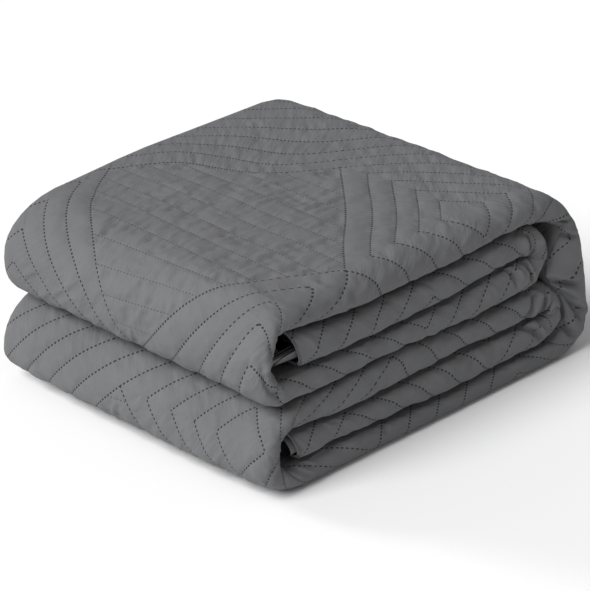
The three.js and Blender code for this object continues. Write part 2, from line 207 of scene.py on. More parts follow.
# Where the cloth has been pulled out of shape along and across the strip
PULLS = [
    # middle u, middle v, reach along, reach across, length along, length across
    (-70, -125, 45, 60, 12, -3),
    (-155, -152, 115, 36, 27, -9),
    (-5, -95, 60, 60, 18, 0),
    (150, -120, 85, 90, -32, 0),
    (8, 36, 55, 38, -26, 0),
    (75, 30, 60, 60, -12, -9),
    (-38, 114, 45, 34, 11, 4),
    (-205, 45, 60, 50, 14, -8),
    (-165, -105, 50, 40, -7, 0),
    (-240, -72, 50, 50, -12, 0),
    (-235, 125, 55, 45, 14, 0),
    (-130, 106, 34, 36, -6, 4),
    (700, -40, 160, 75, 0, -12),
]

# The relief
# Pleats of the front folds, from one cloth place to another
PLEATS = [
    # start u, start v, end u, end v, width, depth
    (-506, -174, -519, -154, 1.9, 4.8),
    (-522, -176, -541, -149, 2.0, 5.4),
    (-608, -172, -616, -146, 2.6, 6.0),
    (-585, -150, -600, -138, 2.4, 3.0),
    (1022, -146, 1012, -168, 2.6, 5.4),
    (1036, -142, 1040, -168, 2.0, 2.7),
    (1048, -160, 1066, -172, 2.6, 5.7),
    (1144, -174, 1112, -150, 2.1, 5.1),
    (514, -176, 522, -156, 1.8, 2.7),
    (603, -174, 600, -160, 2.2, 3.3),
    (610, -172, 608, -156, 2.0, 3.0),
    (240, -179, 247, -153, 3.2, 6.2),
    (250, -178, 267, -157, 3.6, 6.2),
    (264, -166, 281, -153, 3.2, 6.0),
    (271, -166, 275, -152, 2.0, 2.6),
    (286, -176, 298, -154, 3.0, 6.2),
    (150, -178, 172, -156, 2.6, 5.4),
    (187, -178, 197, -154, 2.6, 4.8),
    (-203, -146, -254, -158, 2.4, 3.3),
]
PLEAT_START, PLEAT_STOP = (-0.05, 0.2), (0.8, 1.05)  # shares of its length over which a pleat fades
# The lip beside a pleat: its height for a pleat 1 deep, and its place and width for a pleat 1 wide
LIP_HEIGHT, LIP_PLACE, LIP_WIDTH = 0.5, 2.6, 1.6
# Random hills on the outer face. A hill is as long as its size over along and as wide as its size over
# across, and its place slides along by lean for each step across.
HILLS = {
    "short puckers": dict(size=5.2, along=1, lean=0, across=0.3, seed=5),
    "long puckers": dict(size=9, along=1, lean=0.3, across=0.35, seed=6),
    "waves": dict(size=62, along=1, lean=0, across=1.3, seed=7),
    "ripples": dict(size=31, along=1.2, lean=0, across=1, seed=8),
    "channels": dict(size=24, along=1, lean=0, across=1, seed=9),
    "creases": dict(size=24, along=1, lean=0.5, across=1, seed=11),
    "small creases": dict(size=13, along=1, lean=-0.6, across=1, seed=12),
}
HILL_TABLE = 64  # random heights along each side of the table that the hills are drawn from
HILL_START = (900.37, 900.71)  # the table's place under the cloth's middle, so that no place is below 0
CHANNEL_RISE = 3.6  # distance from its line over which a channel rises
CHANNEL_UNEVEN = 0.3  # share by which its height comes and goes
LOW_ON_FRONT, LOW_IN_STRAIGHT = 0.1, 0.45  # shares that it loses on front folds and in straight cells
PUCKER_REACH = 8  # distance from a line over which the puckers fade
PUCKER_REST = 0.4  # what is left of them beyond it
SHORT_PUCKERS = 0.7  # height of the short ones
LONG_PUCKERS, RIDGE_SLOPE = 0.65, 2.6  # height of the long ones' tops, and how steeply they fall
MORE_IN_STRAIGHT = 0.8  # share that they gain in straight cells
WAVE_HEIGHT, RIPPLES = 0.8, 0.5  # ripples for waves 1 high
CREASE_HEIGHT, SMALL_CREASES = 1.3, 0.5  # small creases for creases 1 high
FRONT_FOLDS = (128, 146)  # distances from the strip's middle over which the front folds' relief comes in
NEAR_GROUND = (4, 18)  # heights over which the relief comes in
# Where the cloth is taut over the right end and at the back edge, and the share of the relief that this takes
TAUT_END_START, TAUT_END_STOP, TAUT_END_SHARE = (110, 150), (300, 340), 0.35
TAUT_BACK, TAUT_BACK_SHARE = (110, 140), 0.8
TAUT_WAVES = 0.7  # and what it takes of the waves

# The finish, in metres
# Distances over which these fade: a needle hole, darkened as painted shade, and its pale rim, a painted
# highlight, from the hole's middle, and the groove, which gets painted shade, and the puckers from the line
HOLE = (0.0005, 0.0011)
RIM_HIGHLIGHT = (0.0012, 0.0021)
GROOVE = (0.0004, 0.0026)
PUCKER_BAND = (0.002, 0.012)
PUCKERS_BEYOND = 0.6  # height of the puckers beyond their band, for 1 more at the line
PUCKER_STRETCH = 0.28  # width of a pucker along the line, for its length across it
HOLE_LENGTH = 0.55  # weight of a squared distance along the line, which makes a hole longer than wide
FAINT_HOLES = 0.55  # share that the holes of the straight lines lose
WEAVE_PITCH = 0.0009
CLOUD_SCALE, FIBRE_SCALE, PUCKER_SCALE = 26, 900, 170
# How much each part changes the cloth's shade and the height of its bump. In the shade, the groove and the
# holes are painted shade and the rims a painted highlight, while cloudy and fibres are the cloth's own tone
SHADES = dict(cloudy=0.22, fibres=0.30, groove=0.13, holes_with_painted_shade=0.66, rim_highlight=0.18)
BUMPS = dict(weave=0.10, fibres=0.25, cloudy=0.3, holes_with_painted_shade=1.2, groove=0.35, puckers=3.6)

# The stage, in metres and degrees
FLOOR_HALF = 6.0
LIGHTS = [
    # name, where it shines from, its strength among the settings, spread
    ("key_light", (-1, 0.02, 0.95), "key_strength", 34),
    ("back_light", (-0.35, 1, 0.42), "back_strength", 16),
]
CAMERA = dict(azimuth=-45.09, elevation=26.28, distance=2.486, aim=(-0.0075, -0.0015, 0.066))
LENS, SENSOR = 188.7, 36  # focal length and sensor width, in millimetres


def mix(a, b, t):
    """The value t of the way from a to b."""
    return a + (b - a) * t


def smooth(value, low, high):
    """0 below low, 1 above high and an S-shaped rise between, 3 t^2 - 2 t^3."""
    t = np.clip((value - low) / (high - low), 0, 1)
    return t * t * (3 - 2 * t)


def soft_hills(x, y, name):
    """Smooth random hills from -1 to 1, of the form that HILLS gives: random heights on a square lattice,
    blended between its corners by the S-shaped rise."""
    form = HILLS[name]
    table = np.random.default_rng(form["seed"]).uniform(-1, 1, (HILL_TABLE, HILL_TABLE))
    x = (form["along"] * x + form["lean"] * y) / form["size"] + HILL_START[0]
    y = form["across"] * y / form["size"] + HILL_START[1]
    i, j = np.floor(x).astype(int), np.floor(y).astype(int)
    tx, ty = smooth(x - i, 0, 1), smooth(y - j, 0, 1)
    i0, i1 = i % HILL_TABLE, (i + 1) % HILL_TABLE
    j0, j1 = j % HILL_TABLE, (j + 1) % HILL_TABLE
    return mix(mix(table[i0, j0], table[i1, j0], tx), mix(table[i0, j1], table[i1, j1], tx), ty)


def soft_ridges(x, y, name):
    """Ridges with sharp tops along the zero lines of the hills, 0.5 high, that fall to -0.5."""
    return 0.5 - np.abs(soft_hills(x, y, name))


def run_height(run, face, x, edge):
    """Height of a run's upper or lower face: cubic pieces through the joint's table, each with the slope of
    its neighbours, less half the gap between two runs."""
    joint = RUN_ORDER.index(run) + (face == "lower")
    heights = JOINT_HEIGHTS[edge][joint]
    slopes = np.gradient(heights, JOINT_X)
    x = np.clip(x, JOINT_X[0], JOINT_X[-1])
    i = np.clip(np.searchsorted(JOINT_X, x) - 1, 0, len(JOINT_X) - 2)
    step = JOINT_X[i + 1] - JOINT_X[i]
    t = (x - JOINT_X[i]) / step
    height = mix(heights[i], heights[i + 1], t * t * (3 - 2 * t))
    height = height + step * ((t**3 - 2 * t * t + t) * slopes[i] + (t**3 - t * t) * slopes[i + 1])
    if 0 < joint < len(RUN_ORDER):
        height = height + (RUN_GAP / 2 if face == "lower" else -RUN_GAP / 2)
    return height


def fold_row(name, edge):
    """A fold's row of the table at its front or its back end."""
    row = dict(FOLDS[name])
    if edge == "back":
        for key, change in FOLD_DRIFT.get(name, {}).items():
            row[key] += change
    return row


def fold_curve(fold, edge, face, reach, t):
    """A fold's face from its upper run, t = 0, round to its lower one, t = 1: a quarter of a superellipse
    out to reach and another back. x goes with |sin| and z with |cos| of the turn, to the power
    2 / roundness."""
    start, stop = fold[face + "_top"], fold[face + "_bottom"]
    sides = ("upper", "lower") if face == "outer" else ("lower", "upper")
    top = run_height(fold["upper"], sides[0], start, edge)
    bottom = run_height(fold["lower"], sides[1], stop, edge)
    middle = mix(bottom, top, fold["rise"])
    above = t < 0.5
    power = 2 / np.where(above, fold["round_top"], fold["round_bottom"])
    x0, z0 = np.where(above, start, stop), np.where(above, top, bottom)
    out, up = np.abs(np.sin(np.pi * t)) ** power, np.abs(np.cos(np.pi * t)) ** power
    return x0 + (reach - x0) * out, middle + (z0 - middle) * up


def run_end(index, face, edge, run):
    """x where a run's face meets its neighbour in the course, or the strip's own end."""
    if 0 <= index < len(COURSE):
        fold = fold_row(COURSE[index][0], edge)
        return fold[face + ("_top" if fold["upper"] == run else "_bottom")]
    end = STRIP_ENDS[run]
    return end[face] + (end["drift"] if edge == "back" else 0)


def course_face(edge, face):
    """x and z of the strip's outer or inner face along the whole course, at its front or back edge."""
    xs, zs = [], []
    for index, (name, way) in enumerate(COURSE):
        last = index == len(COURSE) - 1
        t = np.linspace(0, 1, COURSE_SAMPLES + 1)[: None if last else -1]
        if (name, edge, face) == ("aa2", "front", "inner"):
            x, z = (np.interp(t, LARGE_FOLD_INSIDE[:, 0], LARGE_FOLD_INSIDE[:, k]) for k in (1, 2))
        elif name in FOLDS:
            fold = fold_row(name, edge)
            side = np.sign(fold["reach"] - fold["outer_top"])
            reach = fold["reach"] - (side * fold["thick"] if face == "inner" else 0)
            x, z = fold_curve(fold, edge, face, reach, t if way > 0 else 1 - t)
        else:
            x = mix(run_end(index - 1, face, edge, name), run_end(index + 1, face, edge, name), t)
            z = run_height(name, "upper" if (way > 0) == (face == "outer") else "lower", x, edge)
        xs.append(x)
        zs.append(z)
    return np.concatenate(xs), np.concatenate(zs)


def course_bow():
    """How far the middle of each fold stands out along the course: a half sine over the fold."""
    bow = [FOLDS[name]["bow"] if name in FOLDS else 0 for name, _ in COURSE]
    index = np.minimum(COURSE_S.astype(int), len(COURSE) - 1)
    return np.array(bow)[index] * np.sin(np.pi * (COURSE_S - index))


FACES = {(edge, face): course_face(edge, face) for edge in ("front", "back") for face in ("outer", "inner")}
BOW = course_bow()


def end_shift(s, inside, level, depth):
    """How far the hidden layers lie from the outermost one at the strip's two ends. What counts is how near
    a place is to the section's middle, as a share of its half thickness or of its front fold's depth."""
    radius = np.hypot(level / ((LAYERS - 1) / 2), np.clip(1 - inside / depth, 0, None))
    second, hidden = 1 - smooth(radius, *SECOND_LAYER), 1 - smooth(radius, *INNER_LAYERS)
    shift = 0
    for name, share in (("b", np.clip(1 - s, 0, 1)), ("b2", np.clip(s - len(COURSE) + 1, 0, 1))):
        end = STRIP_ENDS[name]
        up = smooth(level if name == "b" else -level, -HALVES_BLEND, HALVES_BLEND)
        inner = mix(end["lower"], end["upper"], up)
        shift = shift - share**2 * mix(second * end["second"], inner, hidden)
    return shift


def strip_point(s, y, level, sizes):
    """Where a place of the folded strip lies. s is its place along the course, y and level its place in the
    section, with level counted in layers from the strip's middle. x and z are mixed from the outer and the
    inner face, and from the front and the back edge. The folds bow out by a parabola across the strip, and
    the top swells by a dome, a parabola both ways."""
    shallow, half = sizes.roll_depth / MM, sizes.half_width / MM
    deep_share = smooth(s, *TOP_ROLL_START) * (1 - smooth(s, *TOP_ROLL_STOP))
    depth = mix(shallow, TOP_ROLL_DEPTH, deep_share)
    inside = y + half
    y = -half + np.where(inside < shallow, inside * depth / shallow,
                         depth + (inside - shallow) * (2 * half - depth) / (2 * half - shallow))
    across = np.clip((y + half) / (2 * half), 0, 1)
    outward = (level / OUTER_LEVEL + 1) / 2
    x = z = 0
    for edge, edge_share in (("front", 1 - across), ("back", across)):
        for face, face_share in (("outer", outward), ("inner", 1 - outward)):
            line_x, line_z = FACES[edge, face]
            x = x + edge_share * face_share * np.interp(s, COURSE_S, line_x)
            z = z + edge_share * face_share * np.interp(s, COURSE_S, line_z)
    x = x + 4 * across * (1 - across) * np.interp(s, COURSE_S, BOW)
    x = x + end_shift(s, inside, level, shallow)
    dome = np.maximum(0, 1 - (x / CROWN_REACH) ** 2) * np.maximum(0, 1 - (y / half) ** 2)
    return np.stack([x, y, z * (1 + CROWN * dome / JOINT_HEIGHTS["front"][0, 0])], axis=-1)


def cloth_ruler(sizes):
    """Length of the cloth along the course at each COURSE_S, counted on the outer face from the middle of
    the top run, where x = 0."""
    middle = np.zeros_like(COURSE_S)
    points = strip_point(COURSE_S, middle, np.full_like(COURSE_S, OUTER_LEVEL), sizes)
    length = np.concatenate([[0], np.cumsum(np.linalg.norm(np.diff(points, axis=0), axis=1))])
    top = (COURSE_S >= TOP_RUN) & (COURSE_S <= TOP_RUN + 1)
    return length - np.interp(0, points[top, 0], length[top])


def layer_level(layer):
    """Level of a layer, with the outermost one, 1, on top."""
    return (LAYERS + 1) / 2 - layer


def squared(value, power):
    """A value between -1 and 1 brought nearer to its end by a power below 1."""
    return np.sign(value) * np.abs(value) ** power


def section_line(sizes):
    """The cloth's middle line through the strip's section, from hem to hem, as columns y, level, the
    normal's two parts, and 1 on the large front fold. Each turn is a half ellipse that is level with both
    its layers."""
    shallow, half = sizes.roll_depth / MM, sizes.half_width / MM
    first, last = HEM_INSETS
    rows = [[half - HEM_INSETS[first], layer_level(first), 0, -1, 0]]
    for side, start, stop, steps, inset in SECTION_TURNS:
        centre = (layer_level(start) + layer_level(stop)) / 2
        radius = (layer_level(stop) - layer_level(start)) / 2
        if side == "front":
            way, size = -1, abs(radius) * shallow / ((LAYERS - 1) / 2)
            base = shallow - half
        else:
            way, size = 1, abs(radius) * LAYER_PITCH
            base = half - inset - (size if inset else BACK_ROOM)
        bend = np.sign(radius) * way
        angle = np.linspace(0, np.pi, steps + 1)
        out, along = np.sin(angle) * way, np.cos(angle)
        power = SQUARENESS if start == first else 1
        rows += np.column_stack([
            base + size * squared(out, power),
            centre - radius * squared(along, power),
            -bend * out,
            bend * np.sign(radius) * along,
            np.full_like(angle, start == first),
        ]).tolist()
    rows.append([half - HEM_INSETS[last], layer_level(last), 0, 1, 0])
    return np.array(rows)


def cloth_width(y, level, normal_level, on_roll, sizes):
    """The cloth's own length v across the strip at each point of the section's middle line, which is y on
    the outer layer, and on the front fold the length of a round turn."""
    shallow, half = sizes.roll_depth / MM, sizes.half_width / MM
    first_face = np.flatnonzero(on_roll)[-1]
    v = np.concatenate([[0], np.cumsum(np.hypot(np.diff(y), np.diff(level) * LAYER_PITCH))])
    v = v - v[first_face] + y[first_face]
    roll_radius = shallow + CLOTH_SHARE / 2 * LAYER_PITCH
    v_roll = shallow - half - roll_radius * np.arccos(np.clip(normal_level, -1, 1))
    v = np.where(on_roll, v_roll, v)
    v[0] = v_roll[1] - (y[0] - y[1])
    return v


def section_ring(sizes):
    """The section's closed outline: the middle line moved half the cloth's thickness to one side, and back
    along the other side. Gives a dict of arrays, with the kind of each row, outermost true on the section's
    outermost face, and v, the cloth's length across the strip from the middle of the outer layer."""
    y, level, normal_y, normal_level, on_roll = section_line(sizes).T
    v = cloth_width(y, level, normal_level, on_roll > 0, sizes)
    half = sizes.half_width / MM
    rows = []
    for side in (1, -1):
        off = side * CLOTH_SHARE / 2
        part = np.column_stack([
            y + off * normal_y * LAYER_PITCH,
            level + off * normal_level,
            normal_y,
            normal_level,
            v,
            np.where((on_roll > 0) & (side > 0), ROLL, HIDDEN),
        ])[::side]
        # A flat stretch of the outer face gets fine rows, and a hidden one a few
        for here, after in zip(part, np.roll(part, -1, axis=0)):
            rows.append(here[None])
            length = after[0] - here[0]
            if abs(length) > half:
                is_face = here[5] == ROLL and here[3] > 0
                shares = np.linspace(0, 1, round(length / FACE_STEP) + 1)[1:-1] if is_face else HIDDEN_ROWS
                extra = mix(here, after, shares[:, None])
                extra[:, 5] = FACE if is_face else HIDDEN
                rows.append(extra)
    ring = dict(zip(("y", "level", "ny", "nl", "v", "kind"), np.concatenate(rows).T))
    kind = ring["kind"].astype(int)
    ring["outermost"] = kind > HIDDEN
    on_roll = kind == ROLL
    kind[on_roll & (ring["nl"] > FACE_NORMAL)] = FACE
    kind[on_roll & (ring["nl"] < UNDER_NORMAL)] = HIDDEN
    ring["kind"] = kind
    return ring


def even_stations(ruler, step):
    """Places s along the course that lie step apart on the outer face."""
    count = round((ruler[-1] - ruler[0]) / step)
    return np.interp(np.linspace(ruler[0], ruler[-1], count), ruler, COURSE_S)


def within(s, stretches):
    """True where s lies inside one of the stretches."""
    return np.any([(s > low) & (s < high) for low, high in stretches], axis=0)


def stations_by_kind(ruler):
    """Places s along the course for the three kinds of rows: hidden rows get a few on each run and more on
    each fold, the rounded front folds an even spacing that is finer round the right-hand folds, and the
    outer face an even one where it shows."""
    hidden = [len(COURSE)]
    for index, (name, _) in enumerate(COURSE):
        steps = HIDDEN_FOLD_STEPS if name in FOLDS else HIDDEN_RUN_STEPS
        hidden = np.concatenate([hidden, index + np.arange(steps) / steps])
    hidden = np.unique(hidden)
    face, roll, fold = (even_stations(ruler, step) for step in (FACE_STEP, ROLL_STEP, FOLD_STEP))
    return {
        HIDDEN: hidden,
        ROLL: np.unique(np.concatenate([roll[~within(roll, TURNING)], fold[within(fold, TURNING)]])),
        FACE: np.unique(np.concatenate([hidden[~within(hidden, SHOWN)], face[within(face, SHOWN)]])),
    }


def strip_between(left_ids, left_s, right_ids, right_s):
    """Triangles between two rows of vertices with different stations. Each step of either row makes one
    triangle; the steps are taken in the order of their middles, so each meets the nearest vertex across."""
    middles = np.concatenate([(left_s[:-1] + left_s[1:]) / 2, (right_s[:-1] + right_s[1:]) / 2])
    from_left = np.arange(len(middles)) < len(left_s) - 1
    is_left = from_left[np.argsort(middles, kind="stable")]
    i = np.cumsum(is_left) - is_left
    j = np.cumsum(~is_left) - ~is_left
    third = np.where(is_left, left_ids[np.minimum(i + 1, len(left_ids) - 1)],
                     right_ids[np.minimum(j + 1, len(right_ids) - 1)])
    return np.stack([left_ids[i], third, right_ids[j]], axis=1)


def tube_triangles(rows, ring_v):
    """Triangles between neighbouring rows of vertices, and over the strip's two ends, where the outline's
    two sides are joined across the cloth's thickness."""
    starts = np.concatenate([[0], np.cumsum([len(row) for row in rows])])
    ids = [np.arange(start, stop) for start, stop in zip(starts[:-1], starts[1:])]
    triangles = [strip_between(*pair) for pair in zip(ids, rows, ids[1:] + ids[:1], rows[1:] + rows[:1])]
    first_back = int(np.flatnonzero(np.diff(ring_v) < 0)[0]) + 1
    outside, inside = np.arange(first_back), np.arange(first_back, len(ids))[::-1]
    for end, flip in ((0, True), (-1, False)):
        vertex = np.array([row[end] for row in ids])
        cap = strip_between(vertex[outside], ring_v[outside], vertex[inside], ring_v[inside])
        triangles.append(cap[:, ::-1] if flip else cap)
    return np.concatenate(triangles)


def lattice_place(u, v):
    """A cloth place in the quilting's own lattice, in half diagonals of a cell from the straight-lined one's
    middle: the place less the pulls, each a Gaussian hill, and one channel's step less past the bottom
    run."""
    pulled_u, pulled_v = u, v
    for middle_u, middle_v, reach_u, reach_v, length_u, length_v in PULLS:
        hill = np.exp(-(((u - middle_u) / reach_u) ** 2) - ((v - middle_v) / reach_v) ** 2)
        pulled_u = pulled_u - hill * length_u
        pulled_v = pulled_v - hill * length_v
    later = smooth(u, *LATER) / CHANNELS
    along = (pulled_u - CELL_ORIGIN[0]) / CELL_HALF[0] - later
    across = (pulled_v - CELL_ORIGIN[1]) / CELL_HALF[1] - later
    return along, across


def to_line(value, pitch):
    """Distance to the nearest multiple of pitch."""
    return np.abs(value - np.round(value / pitch) * pitch)


def seam_place(u, v, along, across):
    """Distance to the nearest quilting line, length along it and distance from the cell's middle line, all
    in millimetres, and whether the cell has straight lines, from a cloth place and its place in the lattice.
    Cells stand on their corners. Odd rows hold pairs of cells with lines along their side; in even rows
    every fourth cell has lines across the strip; all others hold squares inside each other."""
    a, b = (along + across) / 2, (along - across) / 2
    row, column = np.round(a), np.round(b)
    da, db = a - row, b - column
    far = np.maximum(np.abs(da), np.abs(db))
    near = np.where(np.abs(da) > np.abs(db), db, da)
    sloping = to_line(da, 1 / CHANNELS) * CELL_SIDE
    nested = to_line(0.5 - np.maximum(far, HALF_CHANNEL), 1 / CHANNELS) * CELL_SIDE
    ahead = u + STRAIGHT_LEAN * v - CELL_ORIGIN[0] - smooth(u, *LATER) * CELL_HALF[0] / CHANNELS
    straight = np.minimum(to_line(ahead, STRAIGHT_PITCH), (0.5 - far) * CELL_SIDE)
    odd, apart = np.mod(row, 2) > 0.5, np.mod(row - column, 4)
    is_sloping, is_straight = odd & (apart < 1.5), ~odd & (apart < 0.5)
    choices = [is_sloping, is_straight]
    distance = np.select(choices, [sloping, straight], nested)
    run = np.select(choices, [db * CELL_SIDE, v], near * CELL_SIDE)
    cross = np.select(choices, [da * CELL_SIDE, u], far * CELL_SIDE)
    return distance, run, cross, is_straight


def pleat_relief(u, v):
    """Depth of the pleats: along each line a narrow Gaussian groove with a lower, wider lip beside it, both
    fading out at the line's ends."""
    relief = 0
    for start_u, start_v, end_u, end_v, width, depth in PLEATS:
        length = math.hypot(end_u - start_u, end_v - start_v)
        way_u, way_v = (end_u - start_u) / length, (end_v - start_v) / length
        along = ((u - start_u) * way_u + (v - start_v) * way_v) / length
        off = ((v - start_v) * way_u - (u - start_u) * way_v) / width
        fade = smooth(along, *PLEAT_START) * (1 - smooth(along, *PLEAT_STOP))
        groove, lip = np.exp(-(off**2)), np.exp(-(((off - LIP_PLACE) / LIP_WIDTH) ** 2))
        relief = relief + depth * fade * (LIP_HEIGHT * lip - groove)
    return relief


def outer_relief(u, v, seam, sizes):
    """Height of the outer face above its plain form: channels that rise between the quilting lines, short
    puckers that cross the lines and show most between straight ones, slow waves, and on the front folds
    sharper creases and the pleats. All but these two are lower where the cloth is taut."""
    distance, run, cross, straight = seam
    on_front = smooth(-v, *FRONT_FOLDS)
    channel = 1 - np.exp(-((distance / CHANNEL_RISE) ** 2))
    near_line = np.exp(-((distance / PUCKER_REACH) ** 2))
    uneven = 1 + CHANNEL_UNEVEN * soft_hills(u, v, "channels")
    puffs = channel * uneven * (1 - LOW_ON_FRONT * on_front) * (1 - LOW_IN_STRAIGHT * straight)
    hills = SHORT_PUCKERS * soft_hills(run, cross, "short puckers")
    ridges = LONG_PUCKERS - RIDGE_SLOPE * np.abs(soft_hills(run, cross, "long puckers"))
    puckers = (hills + ridges) * channel * (PUCKER_REST + near_line) * (1 + MORE_IN_STRAIGHT * straight)
    waves = soft_hills(u, v, "waves") + RIPPLES * soft_hills(u, v, "ripples")
    creases = soft_ridges(u, v, "creases") + SMALL_CREASES * soft_ridges(u, v, "small creases")
    at_end = smooth(u, *TAUT_END_START) - smooth(u, *TAUT_END_STOP)
    taut = np.maximum(TAUT_END_SHARE * at_end, TAUT_BACK_SHARE * smooth(v, *TAUT_BACK))
    relief = (sizes.puff_height * puffs + sizes.pucker_height * puckers) / MM * (1 - taut)
    relief = relief + WAVE_HEIGHT * waves * (1 - TAUT_WAVES * taut)
    return relief + on_front * (CREASE_HEIGHT * creases + pleat_relief(u, v))


def pleat_room(s, y, sizes):
    """How much deeper the layers under the front folds' outermost face lie: more towards the front, and
    nothing at the strip's two ends."""
    shallow, half = sizes.roll_depth / MM, sizes.half_width / MM
    forward = (shallow - half - y) / shallow
    from_end = np.minimum(s, len(COURSE) - s)
    return PLEAT_ROOM * smooth(forward, 0, PLEAT_ROOM_RISE) * smooth(from_end, *PLEAT_ROOM_ENDS)


def face_normal(points, s, row, sizes):
    """The direction that each row of the outline faces, from the strip's own directions through its
    thickness and across it."""
    beyond = strip_point(s, row["y"], row["level"] + 0.5, sizes) - points
    beyond /= np.linalg.norm(beyond, axis=1, keepdims=True)
    normal = beyond * row["nl"][:, None]
    normal[:, 1] += row["ny"]
    return normal / np.linalg.norm(normal, axis=1, keepdims=True)


def relief_share(s, z, row):
    """Share of the relief that each vertex takes: all of it where the outer face shows, less where a front
    fold turns in between two runs or nears the ground, and none on hidden rows."""
    rises = [smooth(s, low, low + SHOWN_FADE) for low, _ in SHOWN]
    falls = [smooth(s, high - SHOWN_FADE, high) for _, high in SHOWN]
    showing = np.max([rise * (1 - fall) for rise, fall in zip(rises, falls)], axis=0)
    on_roll = np.maximum(np.abs(row["ny"]), showing * np.maximum(row["nl"], 0))
    share = np.select([row["kind"] == FACE, row["kind"] == ROLL], [showing, on_roll], 0)
    return share * smooth(z, *NEAR_GROUND)


def fold_cloth(sizes):
    """Vertices in metres, triangles, places on the flat cloth and places in the quilting's lattice of the
    whole folded bedspread: rows of vertices along the course, one for each point of the section's outline,
    joined to a tube and closed at both ends. It stands in the middle of the frame's box, on its floor."""
    ring = section_ring(sizes)
    ruler = cloth_ruler(sizes)
    stations = stations_by_kind(ruler)
    rows = [stations[kind] for kind in ring["kind"]]
    row = {key: np.repeat(column, [len(places) for places in rows]) for key, column in ring.items()}
    s, v = np.concatenate(rows), row["v"]
    u = np.interp(s, COURSE_S, ruler)
    along, across = lattice_place(u, v)
    points = strip_point(s, row["y"], row["level"], sizes)
    normal = face_normal(points, s, row, sizes)
    relief = outer_relief(u, v, seam_place(u, v, along, across), sizes)
    points += normal * (relief_share(s, points[:, 2], row) * relief)[:, None]
    points[:, 1] += np.where(row["outermost"], 0, pleat_room(s, row["y"], sizes))
    low, high = points.min(axis=0), points.max(axis=0)
    box_low, box_high = np.array(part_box(NODE)) / MM
    shift = (box_low + box_high) / 2 - (low + high) / 2
    shift[2] = box_low[2] - low[2]
    flat = np.column_stack([u, v]) * MM
    return (points + shift) * MM, tube_triangles(rows, ring["v"]), flat, np.column_stack([along, across])


class BedspreadSettings(bpy.types.PropertyGroup):
    """Sizes and colours of the folded bedspread."""
    half_width: FloatProperty(
        name="Half width", description="Half the strip's width", default=0.148, unit="LENGTH")
    roll_depth: FloatProperty(
        name="Roll depth", description="Depth of a run's rounded front fold", default=0.012, unit="LENGTH")
    puff_height: FloatProperty(
        name="Puff height", description="Height of the channels above their seams", default=0.0011,
        unit="LENGTH")
    pucker_height: FloatProperty(
        name="Pucker height", description="Height of the small folds across the seams", default=0.00085,
        unit="LENGTH")
    stitch_pitch: FloatProperty(
        name="Stitch pitch", description="Length of a stitch", default=0.0036, unit="LENGTH")
    cloth_colour: FloatVectorProperty(
        name="Cloth", description="Colour of the cloth", subtype="COLOR", size=3,
        default=(0.137, 0.138, 0.142))
    key_strength: FloatProperty(
        name="Key light", description="Strength of the soft light from the left", default=3.1)
    back_strength: FloatProperty(
        name="Back light", description="Strength of the low light from behind", default=1.0)
    sky_strength: FloatProperty(
        name="Sky", description="Strength of the light from all round", default=0.3)
    floor_colour: FloatVectorProperty(
        name="Floor", description="Colour of the floor", subtype="COLOR", size=3,
        default=(0.95, 0.95, 0.95))


class Number:
    """A number in a material's node tree. Arithmetic on it adds Math nodes."""

    def __init__(self, tree, socket):
        self.tree, self.socket = tree, socket

    def math(self, operation, *others):
        node = self.tree.nodes.new("ShaderNodeMath")
        node.operation = operation
        for socket, value in zip(node.inputs, (self, *others)):
            if isinstance(value, Number):
                self.tree.links.new(value.socket, socket)
            else:
                socket.default_value = value
        return Number(self.tree, node.outputs[0])

    def __add__(self, other):
        return self.math("ADD", other)

    def __sub__(self, other):
        return self.math("SUBTRACT", other)

    def __rsub__(self, other):
        return (self * -1) + other

    def __mul__(self, other):
        return self.math("MULTIPLY", other)

    def __truediv__(self, other):
        return self.math("DIVIDE", other)

    def abs(self):
        return self.math("ABSOLUTE")

    def round(self):
        return self.math("ROUND")

    def to_line(self, pitch):
        """Distance to the nearest multiple of pitch."""
        return (self - (self / pitch).round() * pitch).abs()

    def below(self, low, high):
        """1 below low, 0 above high, with an S-shaped fall between."""
        node = self.tree.nodes.new("ShaderNodeMapRange")
        node.interpolation_type = "SMOOTHSTEP"
        self.tree.links.new(self.socket, node.inputs["Value"])
        for name, value in (("From Min", low), ("From Max", high), ("To Min", 1), ("To Max", 0)):
            node.inputs[name].default_value = value
        return Number(self.tree, node.outputs["Result"])

    def choose(self, yes, no):
        """yes where this is 1 and no where it is 0."""
        return no + self * (yes - no)


def uv_numbers(tree, name):
    """The socket of one of the cloth's UV maps, and its two coordinates as Numbers."""
    uv = tree.nodes.new("ShaderNodeUVMap")
    uv.uv_map = name
    split = tree.nodes.new("ShaderNodeSeparateXYZ")
    tree.links.new(uv.outputs["UV"], split.inputs[0])
    return uv.outputs["UV"], Number(tree, split.outputs[0]), Number(tree, split.outputs[1])


def noise_number(tree, vector, scale, detail, roughness=0.5):
    """A noise texture on the given vector, as a Number."""
    node = tree.nodes.new("ShaderNodeTexNoise")
    node.inputs["Scale"].default_value = scale
    node.inputs["Detail"].default_value = detail
    node.inputs["Roughness"].default_value = roughness
    tree.links.new(vector, node.inputs["Vector"])
    return Number(tree, node.outputs[0])


